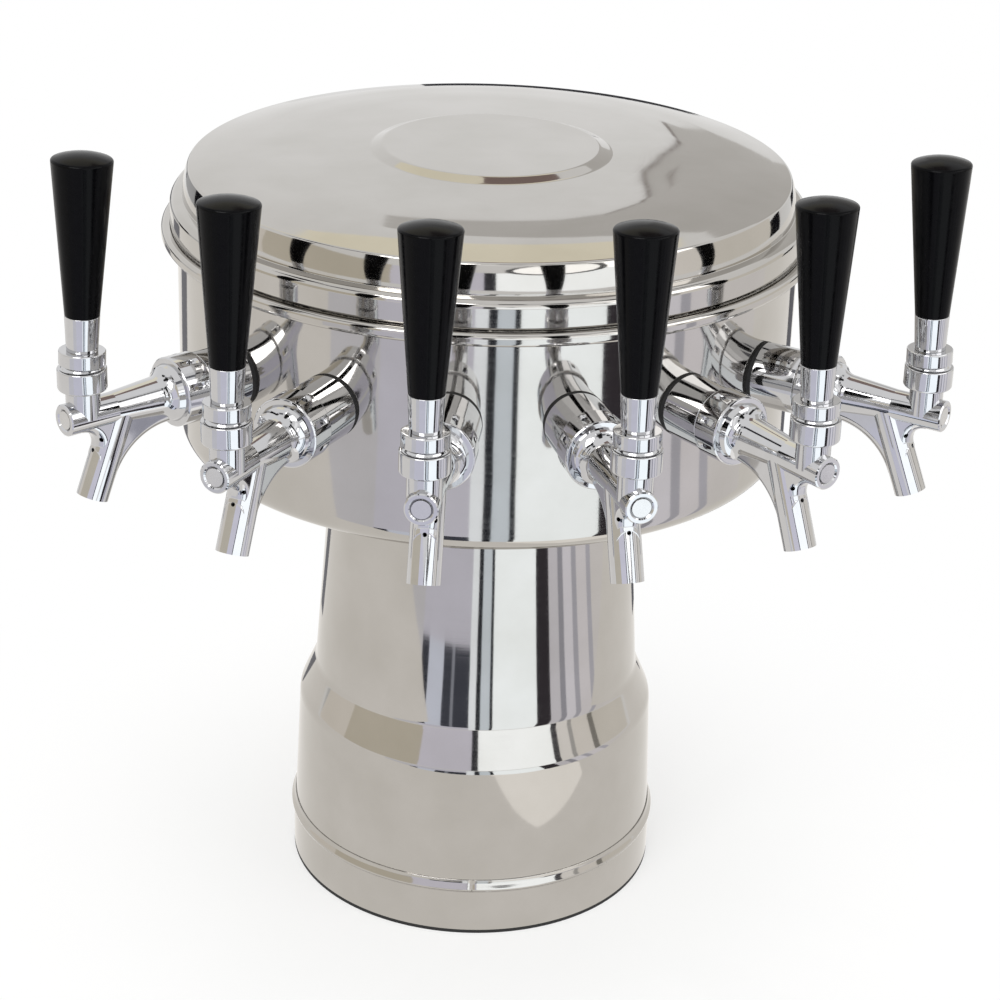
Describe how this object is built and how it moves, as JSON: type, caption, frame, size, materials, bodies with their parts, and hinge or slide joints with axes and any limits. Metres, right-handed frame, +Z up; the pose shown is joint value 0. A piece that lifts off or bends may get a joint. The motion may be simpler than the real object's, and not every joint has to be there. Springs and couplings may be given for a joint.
{
  "type": "beer tower dispenser",
  "caption": "Countertop beer tower: a round steel head on a column, with a fan of lever taps that open rear-sealing valves, under a lift-off lid.",
  "frame": {"origin": "centre of the foot's underside, on the bar top, on the tower's axis", "axes": "+Z up along the tower, -Y the front that the taps face, +X to the right when facing the front"},
  "size_m": [0.4546, 0.452, 0.4805],
  "materials": {
    "polished_steel": "mirror polished stainless steel",
    "plain_steel": "plain turned stainless steel",
    "tube_steel": "drawn stainless steel tube",
    "chrome": "bright chrome plate on brass",
    "brass": "machined brass",
    "rubber": "black moulded rubber",
    "white_plastic": "moulded nylon",
    "foam": "rigid insulating foam, closed cell",
    "black_plastic": "glossy black moulded plastic"
  },
  "bodies": {
    "tower": {"column": "polished_steel", "foot_band": "polished_steel", "head_drum": "polished_steel", "mounting_ring": "plain_steel", "lock_washers": "plain_steel", "lock_nuts": "plain_steel", "beer_lines": "tube_steel", "cooling_tube": "tube_steel", "tail_nuts": "brass", "shank_collars": "chrome", "coupling_nuts": "chrome", "bonnets": "chrome", "base_gasket": "rubber", "wall_gaskets": "rubber", "coupling_washers": "white_plastic", "ball_washers": "white_plastic", "foam_sleeve": "foam", "tap1_body": "chrome", "tap1_shank": "chrome", "tap2_body": "chrome", "tap2_shank": "chrome", "tap3_body": "chrome", "tap3_shank": "chrome", "tap4_body": "chrome", "tap4_shank": "chrome", "tap5_body": "chrome", "tap5_shank": "chrome", "tap6_body": "chrome", "tap6_shank": "chrome"},
    "lid": {"lid": "polished_steel"},
    "tap1_handle": {"tap1_lever": "chrome", "tap1_ferrule": "chrome", "tap1_knob": "black_plastic"},
    "tap1_valve": {"tap1_plunger": "plain_steel", "tap1_seat": "rubber"},
    "tap2_handle": {"tap2_lever": "chrome", "tap2_ferrule": "chrome", "tap2_knob": "black_plastic"},
    "tap2_valve": {"tap2_plunger": "plain_steel", "tap2_seat": "rubber"},
    "tap3_handle": {"tap3_lever": "chrome", "tap3_ferrule": "chrome", "tap3_knob": "black_plastic"},
    "tap3_valve": {"tap3_plunger": "plain_steel", "tap3_seat": "rubber"},
    "tap4_handle": {"tap4_lever": "chrome", "tap4_ferrule": "chrome", "tap4_knob": "black_plastic"},
    "tap4_valve": {"tap4_plunger": "plain_steel", "tap4_seat": "rubber"},
    "tap5_handle": {"tap5_lever": "chrome", "tap5_ferrule": "chrome", "tap5_knob": "black_plastic"},
    "tap5_valve": {"tap5_plunger": "plain_steel", "tap5_seat": "rubber"},
    "tap6_handle": {"tap6_lever": "chrome", "tap6_ferrule": "chrome", "tap6_knob": "black_plastic"},
    "tap6_valve": {"tap6_plunger": "plain_steel", "tap6_seat": "rubber"}
  },
  "joints": [
    {"name": "lid_lift", "type": "slide", "parent": "tower", "child": "lid", "axis": [0, 0, 1], "range_m": [0, 0.12]},
    {"name": "tap1_pull", "type": "hinge", "parent": "tower", "child": "tap1_handle", "pos_m": [-0.21358, -0.15518, 0.366], "axis": [0.5878, -0.809, 0], "range_deg": [0, 25]},
    {"name": "tap1_valve_slide", "type": "slide", "parent": "tower", "child": "tap1_valve", "axis": [0.809, 0.5878, 0], "range_m": [0, 0.009]},
    {"name": "tap2_pull", "type": "hinge", "parent": "tower", "child": "tap2_handle", "pos_m": [-0.14146, -0.2229, 0.366], "axis": [0.8443, -0.5358, 0], "range_deg": [0, 25]},
    {"name": "tap2_valve_slide", "type": "slide", "parent": "tower", "child": "tap2_valve", "axis": [0.5358, 0.8443, 0], "range_m": [0, 0.009]},
    {"name": "tap3_pull", "type": "hinge", "parent": "tower", "child": "tap3_handle", "pos_m": [-0.04947, -0.25932, 0.366], "axis": [0.9823, -0.1874, 0], "range_deg": [0, 25]},
    {"name": "tap3_valve_slide", "type": "slide", "parent": "tower", "child": "tap3_valve", "axis": [0.1874, 0.9823, 0], "range_m": [0, 0.009]},
    {"name": "tap4_pull", "type": "hinge", "parent": "tower", "child": "tap4_handle", "pos_m": [0.04947, -0.25932, 0.366], "axis": [0.9823, 0.1874, 0], "range_deg": [0, 25]},
    {"name": "tap4_valve_slide", "type": "slide", "parent": "tower", "child": "tap4_valve", "axis": [-0.1874, 0.9823, 0], "range_m": [0, 0.009]},
    {"name": "tap5_pull", "type": "hinge", "parent": "tower", "child": "tap5_handle", "pos_m": [0.14146, -0.2229, 0.366], "axis": [0.8443, 0.5358, 0], "range_deg": [0, 25]},
    {"name": "tap5_valve_slide", "type": "slide", "parent": "tower", "child": "tap5_valve", "axis": [-0.5358, 0.8443, 0], "range_m": [0, 0.009]},
    {"name": "tap6_pull", "type": "hinge", "parent": "tower", "child": "tap6_handle", "pos_m": [0.21358, -0.15518, 0.366], "axis": [0.5878, 0.809, 0], "range_deg": [0, 25]},
    {"name": "tap6_valve_slide", "type": "slide", "parent": "tower", "child": "tap6_valve", "axis": [-0.809, 0.5878, 0], "range_m": [0, 0.009]}
  ],
  "couplings": [
    {"joint": "tap1_valve_slide", "follows": "tap1_pull", "m_per_rad": 0.01954},
    {"joint": "tap2_valve_slide", "follows": "tap2_pull", "m_per_rad": 0.01954},
    {"joint": "tap3_valve_slide", "follows": "tap3_pull", "m_per_rad": 0.01954},
    {"joint": "tap4_valve_slide", "follows": "tap4_pull", "m_per_rad": 0.01954},
    {"joint": "tap5_valve_slide", "follows": "tap5_pull", "m_per_rad": 0.01954},
    {"joint": "tap6_valve_slide", "follows": "tap6_pull", "m_per_rad": 0.01954}
  ]
}
